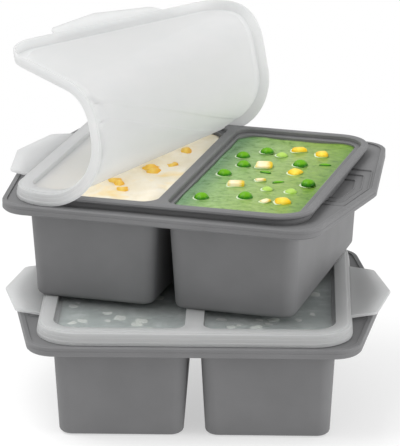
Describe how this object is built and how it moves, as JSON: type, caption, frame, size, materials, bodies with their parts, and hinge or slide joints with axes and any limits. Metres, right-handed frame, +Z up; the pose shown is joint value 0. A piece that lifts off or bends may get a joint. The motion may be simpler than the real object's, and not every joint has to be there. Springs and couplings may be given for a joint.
{
  "type": "baby food freezer tray",
  "caption": "Stack of moulded silicone freezer trays with deep cups under a flat gripped flange, each with a soft press-on lid, the top lid peeled back and rolled over.",
  "frame": {"origin": "on the table, under the middle of the whole stack's bounding box", "axes": "+X along the lower tray towards its right-hand grip, +Y across it towards the back, +Z up"},
  "size_m": [0.2184, 0.2216, 0.1964],
  "materials": {
    "tray_silicone": "matte",
    "lid_silicone": "frosted, lets light through",
    "steel_wire": "drawn"
  },
  "bodies": {
    "lower_tray_body": {"lower_tray": "tray_silicone", "lower_rim_wire": "steel_wire"},
    "lower_lid_body": {"lower_lid": "lid_silicone"},
    "upper_tray_body": {"upper_tray": "tray_silicone", "upper_rim_wire": "steel_wire"},
    "upper_lid_body": {"upper_lid": "lid_silicone"}
  },
  "joints": [
    {"name": "lower_lid_lift", "type": "slide", "parent": "lower_tray_body", "child": "lower_lid_body", "axis": [0, 0, 1], "range_m": [0, 0.1]},
    {"name": "upper_tray_lift", "type": "slide", "parent": "lower_lid_body", "child": "upper_tray_body", "axis": [0, 0, 1], "range_m": [0, 0.1]},
    {"name": "upper_lid_lift", "type": "slide", "parent": "upper_tray_body", "child": "upper_lid_body", "axis": [0, 0, 1], "range_m": [0, 0.1]}
  ]
}
